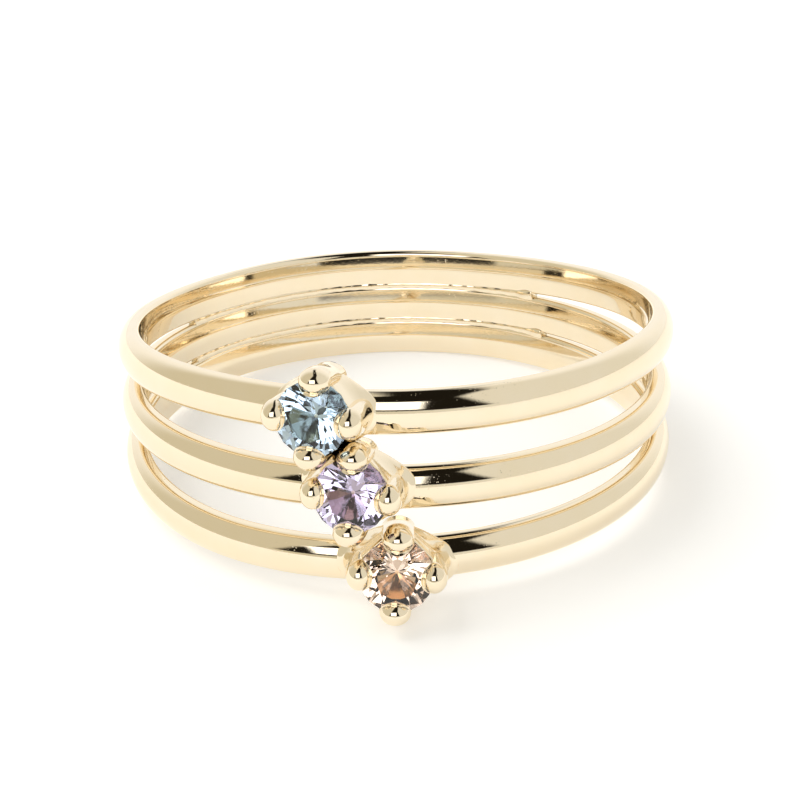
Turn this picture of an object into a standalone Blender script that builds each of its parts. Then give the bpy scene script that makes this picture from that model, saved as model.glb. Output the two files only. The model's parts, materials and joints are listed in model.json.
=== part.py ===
"""Finger ring of three thin domed bands, soldered together at the back and fanned apart
at the front, where each band carries a four-prong head with a round cut stone.

The ring is modelled around its own axis, with the middle band's plane at height zero
and the front of the ring towards -Y. It is then laid on its side as it comes to rest."""

import math

import bmesh
import bpy
import numpy as np
from mathutils import Matrix, Vector, geometry

MM = 0.001

# Bands: a half-round section with a slightly rounded inside, and small rounded corners
BAND_CROWN_RADIUS = 9.50 * MM
BAND_WIDTH = 1.38 * MM
BAND_THICKNESS = 0.85 * MM
BAND_DOME_RISE = 0.48 * MM
BAND_INNER_RISE = 0.09 * MM
BAND_CORNER = 0.09 * MM
BAND_STEPS = 80
DOME_POINTS = 7

# Fan: how far the outer bands stand off the middle one at the back and at the front
BACK_GAP = 0.04 * MM
FRONT_GAP = 1.05 * MM

# Where the gap to the top band (1) and to the bottom band (-1) is fully open and where it is
# closed, in degrees round the ring from the front, to the right and to the left
FANS = {
    1: {"open_right": 47.0, "closed_right": 165.0, "open_left": 25.0, "closed_left": 140.0},
    -1: {"open_right": -22.0, "closed_right": 165.0, "open_left": 31.0, "closed_left": 140.0},
}

# Solder seams in the two grooves at the back
SOLDER_START_TOP = 143.0
SOLDER_START_BOTTOM = 140.0
SOLDER_START_LEFT = 122.0
SOLDER_BITE = 0.16 * MM
SOLDER_BELOW_CROWN = 0.30 * MM
SOLDER_ABOVE_INSIDE = 0.12 * MM
SOLDER_STEPS = 26

# Stones: round brilliant cut, with heights and radii as shares of the diameter
STONE_DIAMETER = 2.25 * MM
MAIN_FACETS = 8
TABLE_SHARE = 0.285
STAR_SHARE = 0.385
CROWN_SHARE = 0.155
GIRDLE_SHARE = 0.025
PAVILION_SHARE = 0.43
LOWER_SHARE = 0.11
STONE_CLEARANCE = 0.03 * MM
SEAT_SIDES = 24

# Heads: a collar on the band's crown, and four prongs that reach over the stone
GIRDLE_HEIGHT = 1.38 * MM
PRONG_THICKNESS = 0.74 * MM
PRONG_BREADTH = 0.92 * MM
PRONG_GRIP = 0.36 * MM
PRONG_TIP_ABOVE_GIRDLE = 0.53 * MM
PRONG_SIDES = 10
FOOT_ALONG_BAND = 1.25 * MM
FOOT_ACROSS_BAND = 1.10 * MM
FOOT_DEPTH = 0.34 * MM
COLLAR_RADIUS = 1.20 * MM
COLLAR_HEIGHT = 1.04 * MM
COLLAR_SHOULDER = 0.30 * MM
COLLAR_FOOT_RADIUS = 1.06 * MM
COLLAR_DEPTH = 0.42 * MM
COLLAR_SIDES = 20

# Share of a side that turned shapes are turned by, so that no edge lies along another's
UNEVEN_TURN = 0.3

# Degrees that each head looks up, and that it is turned clockwise as seen from outside
HEAD_LIFT = 10.2
HEAD_TWIST = 3.3

# Points of a turned shape closer than this are one point
WELD = 0.0001 * MM

# Times that the side the ring rests on is looked for again from the last one found
REST_PASSES = 4

# One row a head: the band it stands on (1 the top one, 0 the middle one, -1 the bottom one),
# its angle from the front in degrees to the left, and how far above the band's middle it sits
HEADS = (
    {"stone": "blue_stone", "band": 1, "angle": 12.9, "raised": 0.22 * MM},
    {"stone": "lilac_stone", "band": 0, "angle": 7.3, "raised": 0.28 * MM},
    {"stone": "peach_stone", "band": -1, "angle": 0.5, "raised": 0.09 * MM},
)

# Prong from its foot to its tip: share of the way from the foot's radius to the tip's,
# share of the height from foot to tip, and thickness and breadth as shares of the full ones
PRONG_STATIONS = (
    {"inward": 1.00, "height": 0.00, "thickness": 0.90, "breadth": 0.90},
    {"inward": 0.94, "height": 0.20, "thickness": 1.00, "breadth": 0.98},
    {"inward": 0.55, "height": 0.42, "thickness": 1.00, "breadth": 1.00},
    {"inward": 0.12, "height": 0.64, "thickness": 1.00, "breadth": 1.00},
    {"inward": 0.00, "height": 0.82, "thickness": 0.98, "breadth": 0.98},
    {"inward": 0.00, "height": 0.92, "thickness": 0.80, "breadth": 0.80},
    {"inward": 0.00, "height": 0.98, "thickness": 0.46, "breadth": 0.46},
)

# Principled BSDF values: base colour, metallic, roughness, transmission
FINISHES = {
    "polished_gold": ((0.86, 0.68, 0.40), 1.0, 0.12, 0.0),
    "blue_glass": ((0.62, 0.80, 0.90), 0.0, 0.02, 0.9),
    "lilac_glass": ((0.70, 0.62, 0.80), 0.0, 0.02, 0.9),
    "peach_glass": ((0.92, 0.66, 0.48), 0.0, 0.02, 0.9),
}


def material(name):
    color, metallic, roughness, transmission = FINISHES[name]
    made = bpy.data.materials.new(name)
    made.use_nodes = True
    shader = made.node_tree.nodes["Principled BSDF"]
    shader.inputs["Base Color"].default_value = (*color, 1.0)
    shader.inputs["Metallic"].default_value = metallic
    shader.inputs["Roughness"].default_value = roughness
    shader.inputs["Transmission Weight"].default_value = transmission
    return made


def new_object(name, mesh_builder, collection):
    """An object whose bmesh is closed, with its faces turned outwards."""
    bm = bmesh.new()
    mesh_builder(bm)
    bmesh.ops.recalc_face_normals(bm, faces=bm.faces)
    mesh = bpy.data.meshes.new(name)
    bm.to_mesh(mesh)
    bm.free()
    made = bpy.data.objects.new(name, mesh)
    collection.objects.link(made)
    return made


def tool_collection(name):
    """A collection of shapes that only feed a Boolean."""
    made = bpy.data.collections.new(name)
    bpy.context.scene.collection.children.link(made)
    return made


def hide_tool(tool):
    tool.hide_render = True
    tool.display_type = "WIRE"


def smooth_step(share):
    share = min(max(share, 0.0), 1.0)
    return share * share * (3.0 - 2.0 * share)


def fan_share(side, x, y):
    """How far a fan is open at a place round the ring: 0 at the back, 1 at the front."""
    fan = FANS[side]
    turn = math.degrees(math.atan2(x, -y))
    right = (fan["closed_right"] - turn) / (fan["closed_right"] - fan["open_right"])
    left = (fan["closed_left"] + turn) / (fan["closed_left"] - fan["open_left"])
    return smooth_step(min(right, left))


def band_gap(side, x, y):
    """Gap between the middle band and the band above it (1) or below it (-1)."""
    return BACK_GAP + (FRONT_GAP - BACK_GAP) * fan_share(side, x, y)


def band_height(level, x, y):
    """Height of a band's centre line: level 1 is the top band, 0 the middle, -1 the bottom."""
    if level == 0:
        return 0.0
    return level * (BAND_WIDTH + band_gap(level, x, y))


def band_section():
    """Outline of the band as (radius, height) points, from the lower outer corner up."""
    half = BAND_WIDTH / 2
    dome_foot = BAND_CROWN_RADIUS - BAND_DOME_RISE
    bore = BAND_CROWN_RADIUS - BAND_THICKNESS
    inner_edge = bore + BAND_INNER_RISE
    turns = np.linspace(-math.pi / 2, math.pi / 2, DOME_POINTS)
    outline = [(dome_foot + BAND_DOME_RISE * math.cos(t), half * math.sin(t)) for t in turns]
    outline.append((inner_edge + BAND_CORNER, half))
    outline.append((inner_edge, half - BAND_CORNER))
    outline.append((bore, 0.0))
    outline.append((inner_edge, BAND_CORNER - half))
    outline.append((inner_edge + BAND_CORNER, -half))
    return outline


def closed_loop(bm, outline):
    """Edges of an outline of (radius, height) points in the XZ plane."""
    points = [bm.verts.new((radius, 0.0, height)) for radius, height in outline]
    return [bm.edges.new(pair) for pair in zip(points, points[1:] + points[:1])]


def build_band(level):
    """The section spun round the ring's axis, then raised to the band's own path."""

    def build(bm):
        edges = closed_loop(bm, band_section())
        bmesh.ops.spin(
            bm, geom=edges, axis=(0, 0, 1), angle=math.tau, steps=BAND_STEPS, use_merge=True
        )
        for vert in bm.verts:
            vert.co.z += band_height(level, vert.co.x, vert.co.y)

    return build


def build_solder(side, start_right):
    """A strip in the groove between the middle band and the band above (1) or below (-1)."""

    def build(bm):
        inner = BAND_CROWN_RADIUS - BAND_THICKNESS + SOLDER_ABOVE_INSIDE
        outer = BAND_CROWN_RADIUS - SOLDER_BELOW_CROWN
        edges = closed_loop(bm, ((inner, -1.0), (outer, -1.0), (outer, 1.0), (inner, 1.0)))
        arc = math.radians(360.0 - start_right - SOLDER_START_LEFT)
        bmesh.ops.spin(bm, geom=edges, axis=(0, 0, 1), angle=arc, steps=SOLDER_STEPS)
        bmesh.ops.holes_fill(bm, edges=bm.edges)
        start = Matrix.Rotation(math.radians(start_right - 90.0), 3, "Z")
        bmesh.ops.rotate(bm, matrix=start, verts=bm.verts)
        for vert in bm.verts:
            gap = band_gap(side, vert.co.x, vert.co.y)
            middle = side * (BAND_WIDTH + gap) / 2
            vert.co.z = middle + math.copysign(gap / 2 + SOLDER_BITE, vert.co.z)

    return build


def ring_of_points(bm, center, out, across, half_out, half_across, sides):
    """Points round an ellipse with one half axis along out and the other along across."""
    turns = [math.tau * (step + 0.5) / sides for step in range(sides)]
    return [
        bm.verts.new(center + out * (half_out * math.cos(t)) + across * (half_across * math.sin(t)))
        for t in turns
    ]


def bridge(bm, lower, upper):
    for step, point in enumerate(lower):
        after = (step + 1) % len(lower)
        bm.faces.new((point, lower[after], upper[after], upper[step]))


def build_prong(turn, foot_radius):
    """A post of oval section from the band to a rounded tip over the stone's edge."""

    def build(bm):
        out = Vector((math.cos(turn), math.sin(turn), 0.0))
        across = Vector((-math.sin(turn), math.cos(turn), 0.0))
        tip_radius = STONE_DIAMETER / 2 - PRONG_GRIP + PRONG_THICKNESS / 2
        tip_height = GIRDLE_HEIGHT + PRONG_TIP_ABOVE_GIRDLE
        loops = []
        for station in PRONG_STATIONS:
            radius = tip_radius + (foot_radius - tip_radius) * station["inward"]
            height = -FOOT_DEPTH + (tip_height + FOOT_DEPTH) * station["height"]
            center = out * radius + Vector((0.0, 0.0, height))
            half_out = PRONG_THICKNESS / 2 * station["thickness"]
            half_across = PRONG_BREADTH / 2 * station["breadth"]
            loops.append(
                ring_of_points(bm, center, out, across, half_out, half_across, PRONG_SIDES)
            )
        for lower, upper in zip(loops, loops[1:]):
            bridge(bm, lower, upper)
        bm.faces.new(list(reversed(loops[0])))
        top = bm.verts.new(out * tip_radius + Vector((0.0, 0.0, tip_height)))
        for step, point in enumerate(loops[-1]):
            bm.faces.new((point, loops[-1][(step + 1) % PRONG_SIDES], top))

    return build


def turned(outline, sides):
    """A profile of (radius, height) points, whose ends lie on the axis, turned about Z."""

    def build(bm):
        points = [bm.verts.new((radius, 0.0, height)) for radius, height in outline]
        edges = [bm.edges.new(pair) for pair in zip(points, points[1:])]
        bmesh.ops.spin(bm, geom=edges, axis=(0, 0, 1), angle=math.tau, steps=sides, use_merge=True)
        bmesh.ops.remove_doubles(bm, verts=bm.verts, dist=WELD)
        between_prongs = Matrix.Rotation(math.tau * UNEVEN_TURN / sides, 3, "Z")
        bmesh.ops.rotate(bm, matrix=between_prongs, verts=bm.verts)

    return build


def build_collar():
    """The turned collar under the stone: narrow where it meets the band, wide at its rim."""
    outline = (
        (0.0, -COLLAR_DEPTH),
        (COLLAR_FOOT_RADIUS, -COLLAR_DEPTH),
        (COLLAR_RADIUS, COLLAR_SHOULDER),
        (COLLAR_RADIUS, COLLAR_HEIGHT),
        (0.0, COLLAR_HEIGHT),
    )
    return turned(outline, COLLAR_SIDES)


def stone_profile():
    """(radius, height) of the cut's corners: table, star, girdle top and bottom, lower, culet.

    The star and lower corners lie where the flat main facets of the cut put them."""
    radius = STONE_DIAMETER / 2
    table = TABLE_SHARE * STONE_DIAMETER
    star = STAR_SHARE * STONE_DIAMETER
    lower = LOWER_SHARE * STONE_DIAMETER
    girdle_top = GIRDLE_SHARE * STONE_DIAMETER / 2
    table_height = girdle_top + CROWN_SHARE * STONE_DIAMETER
    culet_depth = girdle_top + PAVILION_SHARE * STONE_DIAMETER
    lean = math.cos(math.pi / MAIN_FACETS)
    star_drop = (star * lean - table) / (radius - table)
    lower_drop = (radius - lower * lean) / radius
    star_height = table_height + (girdle_top - table_height) * star_drop
    lower_height = -girdle_top + (girdle_top - culet_depth) * lower_drop
    return {
        "table": (table, table_height),
        "star": (star, star_height),
        "girdle_top": (radius, girdle_top),
        "girdle_bottom": (radius, -girdle_top),
        "lower": (lower, lower_height),
        "culet": (0.0, -culet_depth),
    }


def build_stone(bm):
    """A round brilliant: table, stars, kites and halves above, halves and mains below."""
    profile = stone_profile()

    def corners(name, count, offset):
        radius, height = profile[name]
        turns = [math.tau * (step + offset) / count for step in range(count)]
        return [bm.verts.new((radius * math.cos(t), radius * math.sin(t), height)) for t in turns]

    table = corners("table", MAIN_FACETS, 0.0)
    star = corners("star", MAIN_FACETS, 0.5)
    above = corners("girdle_top", 2 * MAIN_FACETS, 0.0)
    below = corners("girdle_bottom", 2 * MAIN_FACETS, 0.0)
    lower = corners("lower", MAIN_FACETS, 0.5)
    culet = bm.verts.new((0.0, 0.0, profile["culet"][1]))
    bm.faces.new(table)
    for main in range(MAIN_FACETS):
        after = (main + 1) % MAIN_FACETS
        before = (main - 1) % MAIN_FACETS
        here = 2 * main
        half = here + 1
        beyond = (here + 2) % (2 * MAIN_FACETS)
        bm.faces.new((table[main], star[main], table[after]))
        bm.faces.new((table[main], star[before], above[here], star[main]))
        bm.faces.new((star[main], above[here], above[half]))
        bm.faces.new((star[main], above[half], above[beyond]))
        bm.faces.new((lower[main], below[here], below[half]))
        bm.faces.new((lower[main], below[half], below[beyond]))
        bm.faces.new((culet, lower[before], below[here], lower[main]))
    bridge(bm, below, above)


def build_seat():
    """The space a stone needs: its cut turned about its axis, grown by the clearance."""
    profile = stone_profile()
    around = 1.0 / math.cos(math.pi / SEAT_SIDES)

    def grown(name, side):
        radius, height = profile[name]
        return ((radius + STONE_CLEARANCE) * around, height + side * STONE_CLEARANCE)

    table = grown("table", 1)
    outline = (
        (0.0, table[1]),
        table,
        grown("star", 1),
        grown("girdle_top", 1),
        grown("girdle_bottom", -1),
        grown("lower", -1),
        (0.0, profile["culet"][1] - 2 * STONE_CLEARANCE),
    )
    return turned(outline, SEAT_SIDES)


def head_place(head):
    """Matrix from a head's own frame to the ring's: Z out of the crown, X along the band."""
    turn = math.radians(-90.0 - head["angle"])
    out = Vector((math.cos(turn), math.sin(turn), 0.0))
    crown = out * BAND_CROWN_RADIUS
    crown.z = band_height(head["band"], crown.x, crown.y) + head["raised"]
    lift = math.radians(HEAD_LIFT)
    axis = out * math.cos(lift) + Vector((0.0, 0.0, math.sin(lift)))
    along = Vector((-out.y, out.x, 0.0))
    up = axis.cross(along)
    turned_frame = Matrix((along, up, axis)).transposed()
    twist = Matrix.Rotation(math.radians(-HEAD_TWIST), 3, "Z")
    return Matrix.Translation(crown) @ (turned_frame @ twist).to_4x4()


def add_head(head, metal, seats):
    """A head's collar and prongs, the space for its stone, and the stone itself."""
    name = head["stone"].replace("stone", "head")
    place = head_place(head)
    girdle = place @ Matrix.Translation((0.0, 0.0, GIRDLE_HEIGHT))
    pieces = [new_object(name + "_collar", build_collar(), metal)]
    for quarter in range(4):
        foot = FOOT_ALONG_BAND if quarter % 2 == 0 else FOOT_ACROSS_BAND
        prong = build_prong(quarter * math.pi / 2, foot)
        pieces.append(new_object(f"{name}_prong_{quarter + 1}", prong, metal))
    for piece in pieces:
        piece.matrix_world = place
    seat = new_object(name + "_seat", build_seat(), seats)
    seat.matrix_world = girdle
    stone = new_object(head["stone"], build_stone, bpy.context.scene.collection)
    stone.matrix_world = girdle
    return stone


def boolean(target, name, operation, tools):
    cut = target.modifiers.new(name, "BOOLEAN")
    cut.operation = operation
    cut.operand_type = "COLLECTION"
    cut.collection = tools
    cut.solver = "EXACT"


def finished_corners(target):
    """The corners of each triangle of an object's mesh after its modifiers."""
    bpy.context.view_layer.update()
    shown = target.evaluated_get(bpy.context.evaluated_depsgraph_get())
    bm = bmesh.new()
    bm.from_mesh(shown.to_mesh())
    bmesh.ops.triangulate(bm, faces=bm.faces)
    corners = np.array([[vert.co for vert in face.verts] for face in bm.faces], dtype=float)
    bm.free()
    shown.to_mesh_clear()
    return corners


def center_of_volume(corners):
    """Centroid of a solid, from the tetrahedra that its triangles make with the origin."""
    volumes = np.einsum("ij,ij->i", corners[:, 0], np.cross(corners[:, 1], corners[:, 2]))
    return Vector(volumes @ corners.sum(axis=1) / 4 / volumes.sum())


def hull_faces(points):
    """The triangles of the convex hull of some points."""
    bm = bmesh.new()
    verts = [bm.verts.new(point) for point in points]
    hull = bmesh.ops.convex_hull(bm, input=verts)["geom"]
    faces = [[v.co.copy() for v in part.verts] for part in hull if isinstance(part, bmesh.types.BMFace)]
    bm.free()
    return faces


def resting_side(points, center):
    """Outward normal of the hull face that the ring rests on: the one under its centre."""
    faces = hull_faces(points)
    down = Vector((0.0, 0.0, -1.0))
    for _ in range(REST_PASSES):
        for corners in faces:
            hit = geometry.intersect_ray_tri(*corners, down, center, True)
            if hit is not None and (hit - center).dot(down) > 0.0:
                normal = geometry.normal(corners)
                down = normal if normal.dot(down) > 0.0 else -normal
                break
    return down


def rest_matrix(target):
    """The turn that lays the ring on the side it rests on, and the shift that puts the
    middle of its outline at the origin and its lowest point at height zero."""
    corners = finished_corners(target)
    points = np.unique(corners.reshape(-1, 3), axis=0)
    down = resting_side(points, center_of_volume(corners))
    turn = down.rotation_difference(Vector((0.0, 0.0, -1.0))).to_matrix()
    laid = points @ np.array(turn).T
    low = laid.min(axis=0)
    high = laid.max(axis=0)
    shift = Vector((-(low[0] + high[0]) / 2, -(low[1] + high[1]) / 2, -low[2]))
    return Matrix.Translation(shift) @ turn.to_4x4()


for existing in list(bpy.data.objects):
    bpy.data.objects.remove(existing)

scene_root = bpy.context.scene.collection
soldered_metal = tool_collection("soldered_metal")
stone_seats = tool_collection("stone_seats")

gold_ring = new_object("soldered_gold_ring", build_band(0), scene_root)
for side, place_name, start in ((1, "top", SOLDER_START_TOP), (-1, "bottom", SOLDER_START_BOTTOM)):
    new_object(place_name + "_band", build_band(side), soldered_metal)
    new_object(place_name + "_solder", build_solder(side, start), soldered_metal)
stones = [add_head(head, soldered_metal, stone_seats) for head in HEADS]

for tool in (*soldered_metal.objects, *stone_seats.objects):
    hide_tool(tool)
boolean(gold_ring, "solder together", "UNION", soldered_metal)
boolean(gold_ring, "seat the stones", "DIFFERENCE", stone_seats)

gold_ring.data.materials.append(material("polished_gold"))
for stone in stones:
    stone.data.materials.append(material(stone.name.replace("stone", "glass")))

laid_down = bpy.data.objects.new("laid_down", None)
scene_root.objects.link(laid_down)
laid_down.matrix_world = rest_matrix(gold_ring)
for piece in (gold_ring, *stones, *soldered_metal.objects, *stone_seats.objects):
    piece.parent = laid_down
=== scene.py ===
import json
import math

import bpy
import numpy as np
from mathutils import Matrix, Vector


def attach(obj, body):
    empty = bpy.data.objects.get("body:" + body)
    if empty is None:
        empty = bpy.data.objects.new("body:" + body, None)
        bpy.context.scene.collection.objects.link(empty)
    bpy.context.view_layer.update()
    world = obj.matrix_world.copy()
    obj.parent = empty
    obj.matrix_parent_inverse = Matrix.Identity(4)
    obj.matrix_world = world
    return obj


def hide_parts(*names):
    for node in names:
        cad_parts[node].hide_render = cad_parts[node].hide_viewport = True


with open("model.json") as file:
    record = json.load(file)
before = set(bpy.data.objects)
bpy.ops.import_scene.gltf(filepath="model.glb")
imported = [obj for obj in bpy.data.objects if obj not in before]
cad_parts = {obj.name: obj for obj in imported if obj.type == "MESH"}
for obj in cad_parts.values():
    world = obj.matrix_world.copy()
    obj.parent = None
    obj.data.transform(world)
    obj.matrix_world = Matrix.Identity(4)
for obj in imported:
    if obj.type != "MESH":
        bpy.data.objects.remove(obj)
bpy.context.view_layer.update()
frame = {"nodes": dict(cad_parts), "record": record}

# The three bands. Each is half-round wire of yellow 14 karat gold, domed outside and slightly
# rounded inside, bent to a ring and buffed by hand, which leaves faint lines, small pits and
# a slight waviness. They are soldered together at the back and fan apart in front.

# Sizes are in millimetres, and turns in degrees from the front, positive to the right.
MM = 0.001
BAND_CROWN_RADIUS = 9.494
BAND_HALF_WIDTH = 0.685
BAND_THICKNESS = 0.85
BAND_DOME_RISE = 0.48
BAND_INNER_RISE = 0.088
BAND_CORNER = 0.16
BORE_BEND = 0.2
BACK_GAP, FRONT_GAP = 0.04, 1.05
FANS = {
    1: {"open_right": 47.0, "closed_right": 165.0, "open_left": 25.0, "closed_left": 140.0},
    -1: {"open_right": -22.0, "closed_right": 165.0, "open_left": 31.0, "closed_left": 140.0},
}
BANDS = (
    {"name": "top_band", "level": 1},
    {"name": "middle_band", "level": 0},
    {"name": "bottom_band", "level": -1},
)
BAND_STEPS = 480
DOME_POINTS, CORNER_POINTS, INSIDE_POINTS = 37, 15, 25
GOLD_COLOR = (0.93, 0.82, 0.64, 1.0)
GOLD_DEEP_COLOR = (0.91, 0.78, 0.56, 1.0)
WAVE_SCALE, GRAIN_SCALE, PIT_SCALE, PATCH_SCALE = 420.0, 9000.0, 11000.0, 900.0
WAVE_DETAIL, GRAIN_DETAIL, PATCH_DETAIL = 1.0, 3.0, 2.0
PIT_REACH = 0.22
PITTED_FROM, PITTED_TO = 0.45, 0.62
PATCH_ROUGHNESS = 0.05
RELIEF_DEPTH = 0.002 * MM

# The ring is worked out round its own axis, with the front towards -Y, and is then laid on
# its side as one. The record's finger mount gives its middle and its axis. The gold lies a
# hair lower than the solid does, so that it stays inside the solid's box.
finger = frame["record"]["mounts"][0]
LIE_TURN = Vector((0.0, 0.0, 1.0)).rotation_difference(Vector(finger["axis"])).to_matrix()
LIE_MATRIX = Matrix.Translation(finger["pos_m"]) @ LIE_TURN.to_4x4()
LIE_LIFT = -0.012 * MM


def laid(points):
    """Points in millimetres round the ring's axis, as world points in metres: scaled by a
    thousandth, turned as the ring lies, then shifted to its middle and a hair downwards."""
    return points @ (MM * np.array(LIE_TURN)).T + np.array(finger["pos_m"]) + (0.0, 0.0, LIE_LIFT)


def skin(name, rings, closed_along=False):
    """A closed mesh through rings of points, given as an array of (along, around, xyz).

    Neighbouring rings are joined by four-sided faces. If the rings don't meet end to end,
    each end is closed by triangles to the mean of its ring. The order of the corners is
    turned round where the volume, a sixth of the sum of the triple products, is negative."""
    along, around = rings.shape[:2]
    points = rings.reshape(-1, 3)
    number = np.arange(along * around).reshape(along, around)
    ahead = np.roll(number, -1, axis=0)
    beside = np.roll(number, -1, axis=1)
    both = np.roll(ahead, -1, axis=1)
    quads = np.stack([number, beside, both, ahead], axis=-1)
    ends = np.empty((0, 3), dtype=int)
    if not closed_along:
        quads = quads[:-1]
        middle = len(points)
        points = np.vstack([points, rings[0].mean(axis=0), rings[-1].mean(axis=0)])
        first, last = number[0], number[-1]
        ends = np.vstack([
            np.stack([np.roll(first, -1), first, np.full(around, middle)], axis=-1),
            np.stack([last, np.roll(last, -1), np.full(around, middle + 1)], axis=-1),
        ])
    quads = quads.reshape(-1, 4)
    triangles = np.vstack([quads[:, [0, 1, 2]], quads[:, [0, 2, 3]], ends])
    a, b, c = (points[triangles[:, corner]] for corner in range(3))
    if np.einsum("ij,ij->", a, np.cross(b, c)) < 0.0:
        quads = quads[:, ::-1]
        ends = ends[:, ::-1]
    mesh = bpy.data.meshes.new(name)
    mesh.from_pydata(laid(points).tolist(), [], quads.tolist() + ends.tolist())
    mesh.shade_smooth()
    made = bpy.data.objects.new(name, mesh)
    bpy.context.scene.collection.objects.link(made)
    return made


def smooth_step(share):
    """0 up to 0, 1 from 1 on, and 3 s squared minus 2 s cubed between."""
    share = np.clip(share, 0.0, 1.0)
    return share * share * (3.0 - 2.0 * share)


def band_gap(level, turn):
    """Gap between the middle band and the one above (level 1) or below (-1) at a turn: the
    back gap plus the rest of the front gap times a smooth step of the lesser of the right
    and left shares of the way."""
    fan = FANS[level]
    right = (fan["closed_right"] - turn) / (fan["closed_right"] - fan["open_right"])
    left = (fan["closed_left"] + turn) / (fan["closed_left"] - fan["open_left"])
    return BACK_GAP + (FRONT_GAP - BACK_GAP) * smooth_step(np.minimum(right, left))


def band_height(level, turn):
    """Height of a band's middle line: none for the middle band, else width plus gap."""
    if level == 0:
        return 0.0 * turn
    return level * (2.0 * BAND_HALF_WIDTH + band_gap(level, turn))


def band_section():
    """Outline of a band as (radius, height): half an ellipse for the dome, then a quarter
    circle at each inner corner, and a hyperbola through the bore between them, so that the
    bore slopes evenly away on both sides of its middle."""
    dome_foot = BAND_CROWN_RADIUS - BAND_DOME_RISE
    bore = BAND_CROWN_RADIUS - BAND_THICKNESS
    t = np.linspace(-math.pi / 2, math.pi / 2, DOME_POINTS)
    dome = np.stack([dome_foot + BAND_DOME_RISE * np.cos(t), BAND_HALF_WIDTH * np.sin(t)], axis=-1)
    c = np.linspace(0.0, math.pi / 2, CORNER_POINTS)
    corner_radius = bore + BAND_INNER_RISE + BAND_CORNER * (1.0 - np.sin(c))
    corner_height = BAND_HALF_WIDTH - BAND_CORNER * (1.0 - np.cos(c))
    top = np.stack([corner_radius, corner_height], axis=-1)
    bore_half = BAND_HALF_WIDTH - BAND_CORNER
    height = np.linspace(bore_half, -bore_half, INSIDE_POINTS)[1:-1]
    share = height / bore_half
    slope = (np.hypot(share, BORE_BEND) - BORE_BEND) / (math.hypot(1.0, BORE_BEND) - BORE_BEND)
    inside = np.stack([bore + BAND_INNER_RISE * slope, height], axis=-1)
    bottom = top[::-1] * (1.0, -1.0)
    return np.vstack([dome, top, inside, bottom])


def band(name, level):
    """The section carried round the ring: x is radius times the sine of the turn, y minus
    radius times its cosine, and the section is raised by level times width plus gap."""
    section = band_section()
    turn = np.linspace(-180.0, 180.0, BAND_STEPS, endpoint=False)[:, None]
    radius, height = section[:, 0][None, :], section[:, 1][None, :]
    angle = np.radians(turn)
    raised = band_height(level, turn)
    rings = np.stack([radius * np.sin(angle), -radius * np.cos(angle), height + raised], axis=-1)
    return skin(name, rings, closed_along=True)


def node_group(name, inputs, outputs):
    """A shader node group with named inputs and outputs."""
    group = bpy.data.node_groups.new(name, "ShaderNodeTree")
    for label, kind, default in inputs:
        socket = group.interface.new_socket(name=label, in_out="INPUT", socket_type=kind)
        socket.default_value = default
    for label, kind in outputs:
        group.interface.new_socket(name=label, in_out="OUTPUT", socket_type=kind)
    return group


def add_node(tree, kind, links=(), **values):
    """A node with its properties set, and its inputs set to values or linked to outputs."""
    node = tree.nodes.new(kind)
    for key, value in values.items():
        setattr(node, key, value)
    for socket, source in dict(links).items():
        if isinstance(source, bpy.types.NodeSocket):
            tree.links.new(source, node.inputs[socket])
        else:
            node.inputs[socket].default_value = source
    return node


def calculated(tree, operation, *inputs):
    """The output of a math node with these inputs."""
    return add_node(tree, "ShaderNodeMath", dict(enumerate(inputs)), operation=operation).outputs[0]


def buffed_metal_group():
    """Height, roughness and stain of buffed metal on Object coordinates: broad waves, fine
    buffing grain, and pits where the cells of a fine pattern lie near their centres, in
    those patches of a slow noise that are also rougher and stained."""
    FLOAT = "NodeSocketFloat"
    group = node_group(
        "buffed_metal",
        (("Wave", FLOAT, 1.0), ("Grain", FLOAT, 1.0), ("Pits", FLOAT, 1.0), ("Roughness", FLOAT, 0.1)),
        (("Height", FLOAT), ("Roughness", FLOAT), ("Stain", FLOAT)),
    )
    given = add_node(group, "NodeGroupInput").outputs
    place = add_node(group, "ShaderNodeTexCoord").outputs["Object"]

    def noise(scale, detail):
        links = {"Vector": place, "Scale": scale, "Detail": detail}
        return add_node(group, "ShaderNodeTexNoise", links).outputs["Fac"]

    def times(a, b):
        return calculated(group, "MULTIPLY", a, b)

    def plus(a, b):
        return calculated(group, "ADD", a, b)

    wave = noise(WAVE_SCALE, WAVE_DETAIL)
    grain = noise(GRAIN_SCALE, GRAIN_DETAIL)
    patch = noise(PATCH_SCALE, PATCH_DETAIL)
    cells = add_node(group, "ShaderNodeTexVoronoi", {"Vector": place, "Scale": PIT_SCALE})
    depth = {"From Min": 0.0, "From Max": PIT_REACH, "To Min": -1.0, "To Max": 0.0}
    pit = add_node(group, "ShaderNodeMapRange", {"Value": cells.outputs["Distance"], **depth})
    pitted = {"Value": patch, "From Min": PITTED_FROM, "From Max": PITTED_TO}
    where = add_node(group, "ShaderNodeMapRange", pitted)
    pits = times(times(pit.outputs["Result"], where.outputs["Result"]), given["Pits"])
    height = plus(plus(times(wave, given["Wave"]), times(grain, given["Grain"])), pits)
    rough = plus(given["Roughness"], times(patch, PATCH_ROUGHNESS))
    add_node(group, "NodeGroupOutput", {"Height": height, "Roughness": rough, "Stain": patch})
    return group


BUFFED_METAL = buffed_metal_group()


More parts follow.
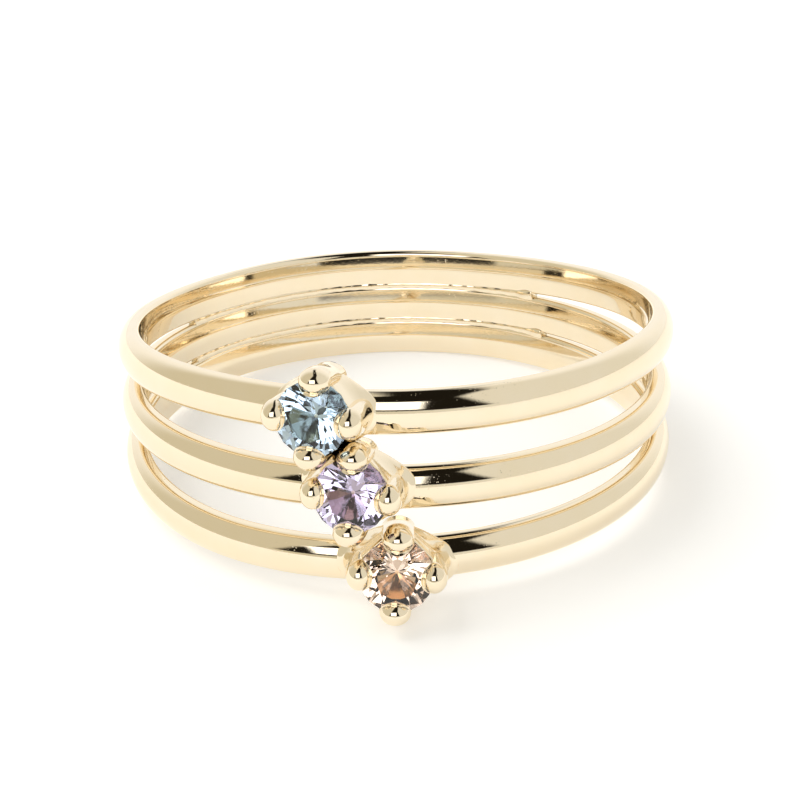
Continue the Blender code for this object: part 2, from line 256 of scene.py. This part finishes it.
def gold(name, wave, grain, pits, roughness):
    """Polished gold whose relief and roughness follow the buffed metal group."""
    made = bpy.data.materials.new(name)
    made.use_nodes = True
    tree = made.node_tree
    shader = tree.nodes["Principled BSDF"]
    shader.inputs["Metallic"].default_value = 1.0
    amounts = {"Wave": wave, "Grain": grain, "Pits": pits, "Roughness": roughness}
    wear = add_node(tree, "ShaderNodeGroup", amounts, node_tree=BUFFED_METAL)
    colors = {"Factor": wear.outputs["Stain"], "A": GOLD_COLOR, "B": GOLD_DEEP_COLOR}
    tint = add_node(tree, "ShaderNodeMix", colors, data_type="RGBA")
    heights = {"Height": wear.outputs["Height"], "Strength": 1.0, "Distance": RELIEF_DEPTH}
    relief = add_node(tree, "ShaderNodeBump", heights)
    tree.links.new(tint.outputs["Result"], shader.inputs["Base Color"])
    tree.links.new(wear.outputs["Roughness"], shader.inputs["Roughness"])
    tree.links.new(relief.outputs["Normal"], shader.inputs["Normal"])
    return made


BAND_GOLD = gold("band_gold", wave=1.2, grain=0.25, pits=1.2, roughness=0.03)
for row in BANDS:
    piece = band(row["name"], row["level"])
    piece.data.materials.append(BAND_GOLD)
    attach(piece, "root")
    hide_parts("soldered_gold_ring")

# The solder seams. Gold solder fills the two grooves where the bands touch at the back, a
# little hollow on both sides and uneven, and each seam starts on the right in a small nub.
SEAMS = (
    {"name": "top_solder_seam", "side": 1, "start_right": 143.0},
    {"name": "bottom_solder_seam", "side": -1, "start_right": 140.0},
)
SEAM_END_LEFT = 122.0
SEAM_BELOW_CROWN = 0.30
SEAM_ABOVE_BORE = 0.14
SEAM_BITE = 0.13
SEAM_INNER_HOLLOW, SEAM_OUTER_HOLLOW = 0.05, 0.06
SEAM_WAVE, SEAM_WAVE_RATES, SEAM_SEED = 0.025, (0.35, 0.8, 1.7), 11
SEAM_STEPS, SEAM_SIDE_POINTS = 260, 9
NUB_LENGTH, NUB_SIZE = 1.6, 0.10


def seam(name, side, start_right):
    """A strip in the groove. Across, it is a rectangle whose inner and outer edges are
    hollowed by a parabola; its inner edge moves with three slow waves of random phase, and
    near the start it stands out by a bell curve, the nub."""
    turn = np.linspace(start_right, 360.0 - SEAM_END_LEFT, SEAM_STEPS)[:, None]
    signed = np.where(turn > 180.0, turn - 360.0, turn)
    gap = band_gap(side, signed)
    half = gap / 2.0 + SEAM_BITE
    number = len(SEAM_WAVE_RATES)
    phases = np.random.default_rng(SEAM_SEED + side).uniform(0.0, math.tau, number)
    waves = sum(np.sin(turn * rate + phase) for rate, phase in zip(SEAM_WAVE_RATES, phases)) / number
    nub = NUB_SIZE * np.exp(-(((turn - start_right - NUB_LENGTH) / NUB_LENGTH) ** 2))
    bore = BAND_CROWN_RADIUS - BAND_THICKNESS
    across = np.linspace(-1.0, 1.0, SEAM_SIDE_POINTS)[None, :]
    hollow = 1.0 - across**2
    inner = bore + SEAM_ABOVE_BORE + SEAM_WAVE * waves - nub - SEAM_INNER_HOLLOW * hollow
    outer = BAND_CROWN_RADIUS - SEAM_BELOW_CROWN - SEAM_OUTER_HOLLOW * hollow + 0.0 * turn
    radius = np.concatenate([inner, outer[:, ::-1]], axis=1)
    height = np.concatenate([half * across, (half * across)[:, ::-1]], axis=1)
    middle = side * (BAND_HALF_WIDTH + gap / 2.0)
    angle = np.radians(turn)
    rings = np.stack([radius * np.sin(angle), -radius * np.cos(angle), height + middle], axis=-1)
    return skin(name, rings)


SEAM_GOLD = gold("seam_gold", wave=6.0, grain=1.5, pits=3.0, roughness=0.10)
for row in SEAMS:
    piece = seam(row["name"], row["side"], row["start_right"])
    piece.data.materials.append(SEAM_GOLD)
    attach(piece, "root")
    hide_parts("soldered_gold_ring")

# The heads' prongs. Each head is of the same gold, with four oval prongs that stand on the
# band, lean in over the stone's edge and are rounded and burnished down at their tips.
HEADS = (
    {"name": "blue", "band": 1, "angle": 12.9, "raised": 0.22, "basket": 0.90},
    {"name": "lilac", "band": 0, "angle": 7.3, "raised": 0.28, "basket": 0.98},
    {"name": "peach", "band": -1, "angle": 0.5, "raised": 0.09, "basket": 1.05},
)
HEAD_LIFT, HEAD_TWIST = 10.2, 3.3
STONE_RADIUS = 1.125
GIRDLE_HEIGHT = 1.38
TABLE_RADIUS, TABLE_RISE, CULET_DEPTH = 0.641, 0.377, 0.996
STONE_CLEARANCE = 0.03
PRONGS = (
    {"side": "right", "foot": 1.06},
    {"side": "upper", "foot": 1.00},
    {"side": "left", "foot": 1.06},
    {"side": "lower", "foot": 1.00},
)
PRONG_GRIP, PRONG_TIP_INSET = 0.36, 0.05
PRONG_TIP_HEIGHT, PRONG_TIP_ROUNDING = 1.90, 0.52
PRONG_FOOT_DEPTH = 0.34
PRONG_HALF_THICKNESS, PRONG_HALF_BREADTH, PRONG_FOOT_BREADTH = 0.40, 0.47, 0.52
PRONG_LEAN_FROM, PRONG_LEAN_TO = 0.05, 1.15
PRONG_END_SHARE = 0.001
PRONG_RINGS, PRONG_POINTS = 56, 40
LEAST_RADIUS = 1e-6


def head_frame(head):
    """A head's crown point and its axes along the band, across it and outwards, in the
    ring's frame: the outward axis is lifted from level by the head's lift, and the other
    two are turned clockwise about it by the head's twist."""
    turn = math.radians(-90.0 - head["angle"])
    out = np.array([math.cos(turn), math.sin(turn), 0.0])
    crown = out * BAND_CROWN_RADIUS
    crown[2] = float(band_height(head["band"], np.array(-head["angle"]))) + head["raised"]
    lift = math.radians(HEAD_LIFT)
    axis = out * math.cos(lift) + np.array([0.0, 0.0, math.sin(lift)])
    along = np.array([-out[1], out[0], 0.0])
    across = np.cross(axis, along)
    twist = math.radians(HEAD_TWIST)
    turned = along * math.cos(twist) - across * math.sin(twist)
    return crown, np.stack([turned, np.cross(axis, turned), axis])


def on_head(head, points):
    """Points of a head's own frame in the ring's frame: turned to its axes, then moved."""
    crown, axes = head_frame(head)
    return points @ axes + crown


def clear_of_stone(points):
    """Points of a head with none inside the stone's seat. Above the girdle a point is
    lifted to the crown's cone plus twice the clearance. Below it a point is moved straight
    out to the cone from the widened girdle to the culet, plus the clearance."""
    radius = np.hypot(points[..., 0], points[..., 1])
    height = points[..., 2] - GIRDLE_HEIGHT
    slope = TABLE_RISE / (STONE_RADIUS - TABLE_RADIUS)
    crown = np.minimum((STONE_RADIUS - radius) * slope, TABLE_RISE) + 2.0 * STONE_CLEARANCE
    edge = STONE_RADIUS + STONE_CLEARANCE
    over = (radius < edge) & (height > 0.0) & (height < crown)
    pavilion = edge * np.clip(1.0 + height / CULET_DEPTH, 0.0, 1.0) + STONE_CLEARANCE
    under = (radius < pavilion) & (height <= 0.0) & (height > -CULET_DEPTH)
    moved = points.copy()
    moved[..., 2] = np.where(over, crown + GIRDLE_HEIGHT, points[..., 2])
    push = np.where(under, pavilion / np.maximum(radius, LEAST_RADIUS), 1.0)
    moved[..., :2] *= push[..., None]
    return moved


def prong(head, quarter):
    """An oval section carried up a path. The path's distance from the head's axis goes from
    the foot's to the tip's by a smooth step of the height, and the section shrinks to the
    end as a quarter ellipse does."""
    foot = PRONGS[quarter]["foot"]
    tip = STONE_RADIUS - PRONG_GRIP + PRONG_HALF_THICKNESS - PRONG_TIP_INSET
    share = np.linspace(0.0, 1.0, PRONG_RINGS)[:, None]
    rise = np.sin(share * math.pi / 2.0)
    height = -PRONG_FOOT_DEPTH + (PRONG_TIP_HEIGHT + PRONG_FOOT_DEPTH) * rise
    leaning = smooth_step((height - PRONG_LEAN_FROM) / (PRONG_LEAN_TO - PRONG_LEAN_FROM))
    centre = foot + (tip - foot) * leaning
    near_end = np.clip((height - PRONG_TIP_HEIGHT) / PRONG_TIP_ROUNDING + 1.0, 0.0, 1.0)
    size = np.sqrt(np.maximum(1.0 - near_end**2, 0.0)) + PRONG_END_SHARE
    widening = smooth_step(height / PRONG_TIP_HEIGHT)
    breadth = PRONG_FOOT_BREADTH + (PRONG_HALF_BREADTH - PRONG_FOOT_BREADTH) * widening
    around = np.linspace(0.0, math.tau, PRONG_POINTS, endpoint=False)[None, :]
    out = centre + PRONG_HALF_THICKNESS * size * np.cos(around)
    across = breadth * size * np.sin(around)
    turn = quarter * math.pi / 2.0
    x = out * math.cos(turn) - across * math.sin(turn)
    y = out * math.sin(turn) + across * math.cos(turn)
    points = np.stack([x, y, height + 0.0 * around], axis=-1)
    return on_head(head, clear_of_stone(points))


HEAD_GOLD = gold("head_gold", wave=3.0, grain=0.6, pits=2.0, roughness=0.06)
for head in HEADS:
    for quarter, row in enumerate(PRONGS):
        piece = skin(f"{head['name']}_head_{row['side']}_prong", prong(head, quarter))
        piece.data.materials.append(HEAD_GOLD)
        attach(piece, "root")
        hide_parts("soldered_gold_ring")

# The heads' baskets. Under each stone the prongs are joined by a square cup of the same gold,
# with its corners at the prongs and its top open. It is soldered to the band's crown, and
# the solder runs out along the band on both sides.
BASKET_ROWS = (
    {"height": -0.50, "along": 1.50, "across": 0.80, "squareness": 2.0},
    {"height": -0.26, "along": 1.80, "across": 0.98, "squareness": 2.0},
    {"height": -0.06, "along": 1.58, "across": 1.22, "squareness": 1.8},
    {"height": 0.22, "along": 1.47, "across": 1.36, "squareness": 1.45},
    {"height": 0.55, "along": 1.45, "across": 1.42, "squareness": 1.2},
    {"height": 0.95, "along": 1.45, "across": 1.45, "squareness": 1.1},
    {"height": 1.10, "along": 1.42, "across": 1.42, "squareness": 1.1},
    {"height": 1.14, "along": 1.34, "across": 1.34, "squareness": 1.12},
    {"height": 1.08, "along": 1.26, "across": 1.26, "squareness": 1.15},
    {"height": 0.80, "along": 1.06, "across": 1.04, "squareness": 1.5},
    {"height": 0.44, "along": 0.60, "across": 0.60, "squareness": 2.0},
)
BASKET_POINTS, BASKET_FINE = 96, 6


def basket(head):
    """A cup through rows of heights and half widths. Round it, the radius is one over the
    sum of the cosine over the width along and the sine over the width across, each to the
    power of the squareness (2 an ellipse, 1 a square on its corner), to one over that
    power. The width along is that of the row times the head's own share. Between rows the
    values follow a cubic."""
    place = np.arange(len(BASKET_ROWS))
    fine = np.linspace(0.0, len(place) - 1.0, BASKET_FINE * (len(place) - 1) + 1)
    low = np.clip(fine.astype(int), 0, len(place) - 2)
    t = fine - low

    def cubic(column):
        values = np.array([row[column] for row in BASKET_ROWS])
        slope = np.gradient(values, place)
        h00, h10 = 2 * t**3 - 3 * t**2 + 1, t**3 - 2 * t**2 + t
        h01, h11 = 3 * t**2 - 2 * t**3, t**3 - t**2
        line = h00 * values[low] + h10 * slope[low] + h01 * values[low + 1] + h11 * slope[low + 1]
        return line[:, None]

    around = np.linspace(0.0, math.tau, BASKET_POINTS, endpoint=False)[None, :]
    power = cubic("squareness")
    along = cubic("along") * head["basket"]
    sides = np.abs(np.cos(around) / along) ** power + np.abs(np.sin(around) / cubic("across")) ** power
    radius = sides ** (-1.0 / power)
    height = cubic("height") + 0.0 * around
    points = np.stack([radius * np.cos(around), radius * np.sin(around), height], axis=-1)
    return on_head(head, clear_of_stone(points))


for head in HEADS:
    piece = skin(head["name"] + "_head_basket", basket(head))
    piece.data.materials.append(HEAD_GOLD)
    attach(piece, "root")
    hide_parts("soldered_gold_ring")

# The stones. Round brilliants, cut and polished, with a flat table and crisp facets: light
# blue on the top band, lilac on the middle one and peach on the bottom one. They are the
# solids themselves, held by the prongs.
STONE_LOOKS = (
    {"node": "blue_stone", "glass": "blue_cut_glass", "color": (0.58, 0.75, 0.93, 1.0)},
    {"node": "lilac_stone", "glass": "lilac_cut_glass", "color": (0.71, 0.63, 0.88, 1.0)},
    {"node": "peach_stone", "glass": "peach_cut_glass", "color": (0.98, 0.76, 0.62, 1.0)},
)
STONE_IOR = 1.60
for look in STONE_LOOKS:
    glass = bpy.data.materials.new(look["glass"])
    glass.use_nodes = True
    shader = glass.node_tree.nodes["Principled BSDF"]
    shader.inputs["Base Color"].default_value = look["color"]
    shader.inputs["Roughness"].default_value = 0.0
    shader.inputs["IOR"].default_value = STONE_IOR
    shader.inputs["Transmission Weight"].default_value = 1.0
    for slot in frame["nodes"][look["node"]].material_slots:
        slot.material = glass

# The floor. A wide white table, almost without gloss, that glows a little by itself so that
# it stays white in the picture.
FLOOR_HALF_SIDE = 3.0
FLOOR_COLOR, FLOOR_ROUGHNESS, FLOOR_GLOSS = (0.82, 0.82, 0.815, 1.0), 0.7, 0.1
FLOOR_GLOW_COLOR, FLOOR_GLOW = (1.0, 0.995, 0.985, 1.0), 0.32
floor_corners = np.array([(-1, -1, 0), (1, -1, 0), (1, 1, 0), (-1, 1, 0)]) * FLOOR_HALF_SIDE
floor_mesh = bpy.data.meshes.new("floor")
floor_mesh.from_pydata(floor_corners.tolist(), [], [(0, 1, 2, 3)])
floor = bpy.data.objects.new("floor", floor_mesh)
bpy.context.scene.collection.objects.link(floor)
floor_paint = bpy.data.materials.new("white_floor")
floor_paint.use_nodes = True
floor_shader = floor_paint.node_tree.nodes["Principled BSDF"]
floor_shader.inputs["Base Color"].default_value = FLOOR_COLOR
floor_shader.inputs["Roughness"].default_value = FLOOR_ROUGHNESS
floor_shader.inputs["Specular IOR Level"].default_value = FLOOR_GLOSS
floor_shader.inputs["Emission Color"].default_value = FLOOR_GLOW_COLOR
floor_shader.inputs["Emission Strength"].default_value = FLOOR_GLOW
floor_mesh.materials.append(floor_paint)

# The studio. A pale tent, warmer at the left and whiter behind, the dark side of the room
# towards the camera and overhead, and a lamp in it round the camera. Lean is the angle from
# the front's level over the top to the back, and side the angle to the right, in degrees.
TENT_LEFT, TENT_RIGHT = (0.69, 0.65, 0.53, 1.0), (0.83, 0.82, 0.77, 1.0)
TENT_BACK = (1.06, 1.06, 1.05, 1.0)
TENT_SIDE_BLEND = 25.0
TENT_BACK_FROM, TENT_BACK_BLEND = 0.60, 0.30
DARK_ROOM = (0.012, 0.010, 0.007, 1.0)
DARK_LOW, DARK_LOW_BLEND = 9.5, 1.5
DARK_TOP, DARK_TOP_BLEND = 150.0, 10.0
DARK_RIGHT = (
    {"start": 40.0, "rate": -0.33, "least": 19.0},
    {"start": 52.0, "rate": -0.345, "least": 5.0},
)
DARK_LEFT = (
    {"start": 53.0, "rate": -0.36, "least": 20.0},
    {"start": 66.0, "rate": -0.70, "least": 3.0},
)
LAMP_COLOR = (2.2, 2.2, 2.2, 1.0)
LAMP_LEFT, LAMP_RIGHT, LAMP_LOW, LAMP_HIGH = -33.0, 9.0, 15.0, 49.0
EDGE_BLEND = 2.5


def studio_world():
    """Each direction's side is the arc sine of x, and its lean the arc tangent of z over
    minus y. The dark covers the leans from its low edge to its top, between a left and a
    right limit. Each limit is the lesser of two lines that fall as the lean grows, each down
    to its least value. The lamp is a rectangle of side and lean. Every edge is a smooth
    step. The tent's two colours blend over the side, and the back's over y."""
    world = bpy.data.worlds.new("studio")
    world.use_nodes = True
    tree = world.node_tree
    way = add_node(tree, "ShaderNodeTexCoord").outputs["Generated"]
    parts = add_node(tree, "ShaderNodeSeparateXYZ", {0: way}).outputs

    def step_up(value, edge, blend=EDGE_BLEND):
        """0 below an edge and 1 above it."""
        reach = {"Value": value, "From Min": edge - blend, "From Max": edge + blend}
        return add_node(tree, "ShaderNodeMapRange", reach, interpolation_type="SMOOTHSTEP").outputs["Result"]

    def step_down(value, edge, blend=EDGE_BLEND):
        """1 below an edge and 0 above it."""
        return calculated(tree, "SUBTRACT", 1.0, step_up(value, edge, blend))

    def times(first, *others):
        product = first
        for other in others:
            product = calculated(tree, "MULTIPLY", product, other)
        return product

    def within_limit(value, rows):
        """1 while a value is under the lesser of the rows' limits at this lean."""
        limits = []
        for row in rows:
            line = calculated(tree, "ADD", times(lean, row["rate"]), row["start"])
            limits.append(calculated(tree, "MAXIMUM", line, row["least"]))
        limit = calculated(tree, "MINIMUM", *limits)
        return step_up(calculated(tree, "SUBTRACT", limit, value), 0.0)

    def mixed(factor, a, b):
        colors = {"Factor": factor, "A": a, "B": b}
        return add_node(tree, "ShaderNodeMix", colors, data_type="RGBA").outputs["Result"]

    side = calculated(tree, "DEGREES", calculated(tree, "ARCSINE", parts["X"]))
    lean = calculated(tree, "DEGREES", calculated(tree, "ARCTAN2", parts["Z"], times(parts["Y"], -1.0)))
    dark = times(
        within_limit(side, DARK_RIGHT),
        within_limit(times(side, -1.0), DARK_LEFT),
        step_up(lean, DARK_LOW, DARK_LOW_BLEND),
        step_down(lean, DARK_TOP, DARK_TOP_BLEND),
    )
    lamp = times(
        step_up(side, LAMP_LEFT),
        step_down(side, LAMP_RIGHT),
        step_up(lean, LAMP_LOW),
        step_down(lean, LAMP_HIGH),
    )
    tent = mixed(step_up(side, 0.0, TENT_SIDE_BLEND), TENT_LEFT, TENT_RIGHT)
    tent = mixed(step_up(parts["Y"], TENT_BACK_FROM, TENT_BACK_BLEND), tent, TENT_BACK)
    room = mixed(lamp, mixed(dark, tent, DARK_ROOM), LAMP_COLOR)
    tree.links.new(room, tree.nodes["Background"].inputs["Color"])
    return world


bpy.context.scene.world = studio_world()

# The softbox. A square light at the left and a little behind, aimed at the ring, which throws
# the soft shadows to the right. It is left out of mirror reflections.
SOFTBOX_AZIMUTH, SOFTBOX_ELEVATION = -100.0, 58.0
SOFTBOX_DISTANCE, SOFTBOX_SIDE, SOFTBOX_WATTS = 0.6, 0.45, 1.6
softbox_light = bpy.data.lights.new("left_softbox", "AREA")
softbox_light.size = SOFTBOX_SIDE
softbox_light.energy = SOFTBOX_WATTS
softbox = bpy.data.objects.new("left_softbox", softbox_light)
azimuth, rise = math.radians(SOFTBOX_AZIMUTH), math.radians(SOFTBOX_ELEVATION)
level_way = Vector((math.sin(azimuth), -math.cos(azimuth), 0.0))
softbox_way = level_way * math.cos(rise) + Vector((0.0, 0.0, math.sin(rise)))
softbox.location = softbox_way * SOFTBOX_DISTANCE
softbox.rotation_euler = softbox_way.to_track_quat("Z", "Y").to_euler()
softbox.visible_glossy = False
bpy.context.scene.collection.objects.link(softbox)

# The camera. A long lens in front, about 26 degrees above the floor, placed in the ring's own
# frame and then laid with the ring. The picture is 800 pixels square.
CAMERA_ELEVATION, CAMERA_ROLL = 21.40, -1.114
CAMERA_DISTANCE, CAMERA_SHIFT_X, CAMERA_SHIFT_Y = 60.0, -0.115, 0.678
CAMERA_FOCAL_PIXELS, PICTURE_PIXELS, SENSOR_WIDTH = 1715.4, 800.0, 36.0
CAMERA_NEAR = 1.0 * MM
elevation, roll = math.radians(CAMERA_ELEVATION), math.radians(CAMERA_ROLL)
ahead = Vector((0.0, math.cos(elevation), -math.sin(elevation)))
level_up = Vector((0.0, math.sin(elevation), math.cos(elevation)))
level_right = Vector((1.0, 0.0, 0.0))
right = level_right * math.cos(roll) + level_up * math.sin(roll)
up = level_up * math.cos(roll) - level_right * math.sin(roll)
stand = (-ahead * CAMERA_DISTANCE - right * CAMERA_SHIFT_X - up * CAMERA_SHIFT_Y) * MM
view = Matrix.Translation(stand) @ Matrix((right, up, -ahead)).transposed().to_4x4()
camera_data = bpy.data.cameras.new("camera")
camera_data.sensor_width = SENSOR_WIDTH
camera_data.lens = SENSOR_WIDTH * CAMERA_FOCAL_PIXELS / PICTURE_PIXELS
camera_data.clip_start = CAMERA_NEAR
camera = bpy.data.objects.new("camera", camera_data)
bpy.context.scene.collection.objects.link(camera)
camera.matrix_world = LIE_MATRIX @ view
bpy.context.scene.camera = camera
bpy.context.scene.view_settings.view_transform = "Standard"
